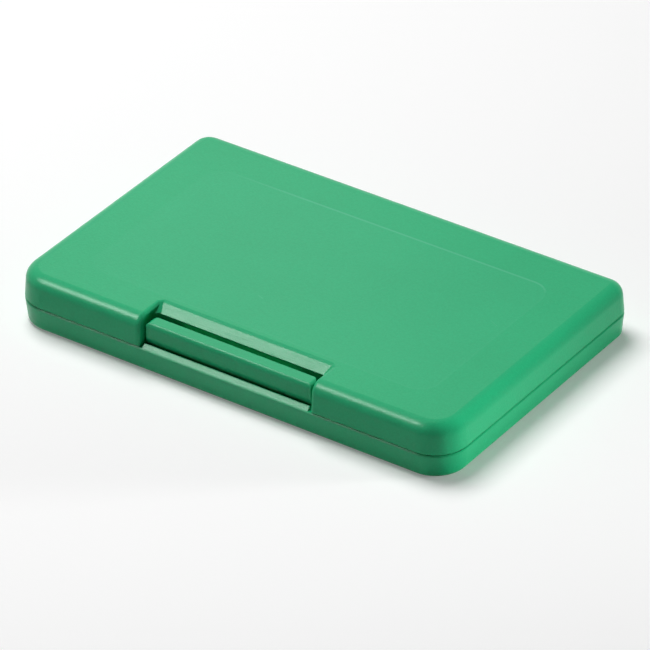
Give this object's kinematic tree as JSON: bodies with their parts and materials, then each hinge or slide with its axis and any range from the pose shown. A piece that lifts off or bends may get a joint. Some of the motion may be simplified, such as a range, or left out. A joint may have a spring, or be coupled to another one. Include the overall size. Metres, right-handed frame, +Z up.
{
  "type": "ink pad",
  "caption": "Flat hinged ink pad in a green plastic case, with a pull latch in a front notch, pinned rear hinges and a framed cloth pad over foam and felt.",
  "frame": {"origin": "middle of the case's flat underside, hinge knuckles left out", "axes": "+X to the right along the case's width, +Y from the latch to the hinges, +Z up from the underside to the lid"},
  "size_m": [0.12, 0.0792, 0.0138],
  "materials": {
    "case_plastic": "satin moulded green polypropylene, fine grain",
    "pin_steel": "drawn wire",
    "tray_plastic": "natural polypropylene",
    "frame_plastic": "satin dark green",
    "felt": "pressed felt, soaked with green ink",
    "foam": "fine open-cell foam, inked",
    "cloth": "plain-weave cotton, inked green"
  },
  "bodies": {
    "base": {"base_shell": "case_plastic", "hinge_pin_left": "pin_steel", "hinge_pin_right": "pin_steel", "pad_tray": "tray_plastic", "ink_felt": "felt", "ink_foam": "foam", "pad_cloth": "cloth", "pad_frame": "frame_plastic"},
    "lid": {"lid_shell": "case_plastic"},
    "latch": {"latch_tongue": "case_plastic"}
  },
  "joints": [
    {"name": "lid_hinge", "type": "hinge", "parent": "base", "child": "lid", "pos_m": [0, 0.0392, 0.0062], "axis": [-1, 0, 0], "range_deg": [0, 160]},
    {"name": "latch_pull", "type": "hinge", "parent": "base", "child": "latch", "pos_m": [0, -0.0344, 0.00306], "axis": [1, 0, 0], "range_deg": [0, 7], "stiffness_Nm_per_rad": 0.4}
  ]
}
